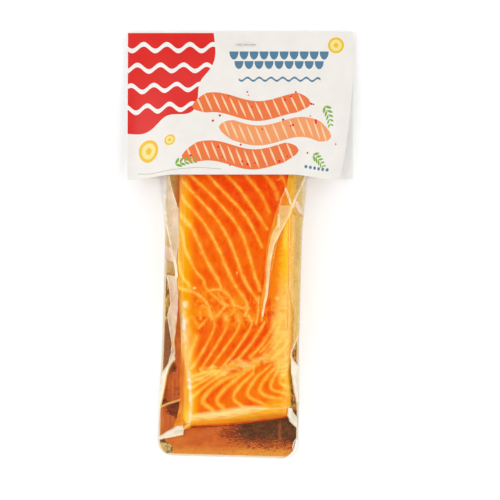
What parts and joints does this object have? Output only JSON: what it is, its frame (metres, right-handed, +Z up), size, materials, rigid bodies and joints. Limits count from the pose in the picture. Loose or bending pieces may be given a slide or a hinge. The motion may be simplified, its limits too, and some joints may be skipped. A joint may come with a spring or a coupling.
{
  "type": "pack of salted salmon",
  "caption": "Clear vacuum pouch with a block of salted salmon on a gold foil board, under a folded card header held by a staple; it lies flat on its back.",
  "frame": {"origin": "under the middle of the whole pack, on the surface that it lies on", "axes": "+X across the pack to the right of the shown side, +Y along it towards the header's fold, +Z up out of the shown side"},
  "size_m": [0.146, 0.2776, 0.024],
  "materials": {
    "filled_pouch": "clear film over orange fish",
    "pouch_film": "clear glossy film with milky creases",
    "salmon": "moist salted salmon flesh with pale fat lines",
    "gold_board": "card laminated with gold foil",
    "printed_card": null,
    "staple_wire": "zinc-coated wire"
  },
  "bodies": {
    "root": {"pouch": "filled_pouch", "header_card": "printed_card", "staple": "staple_wire"}
  },
  "joints": []
}
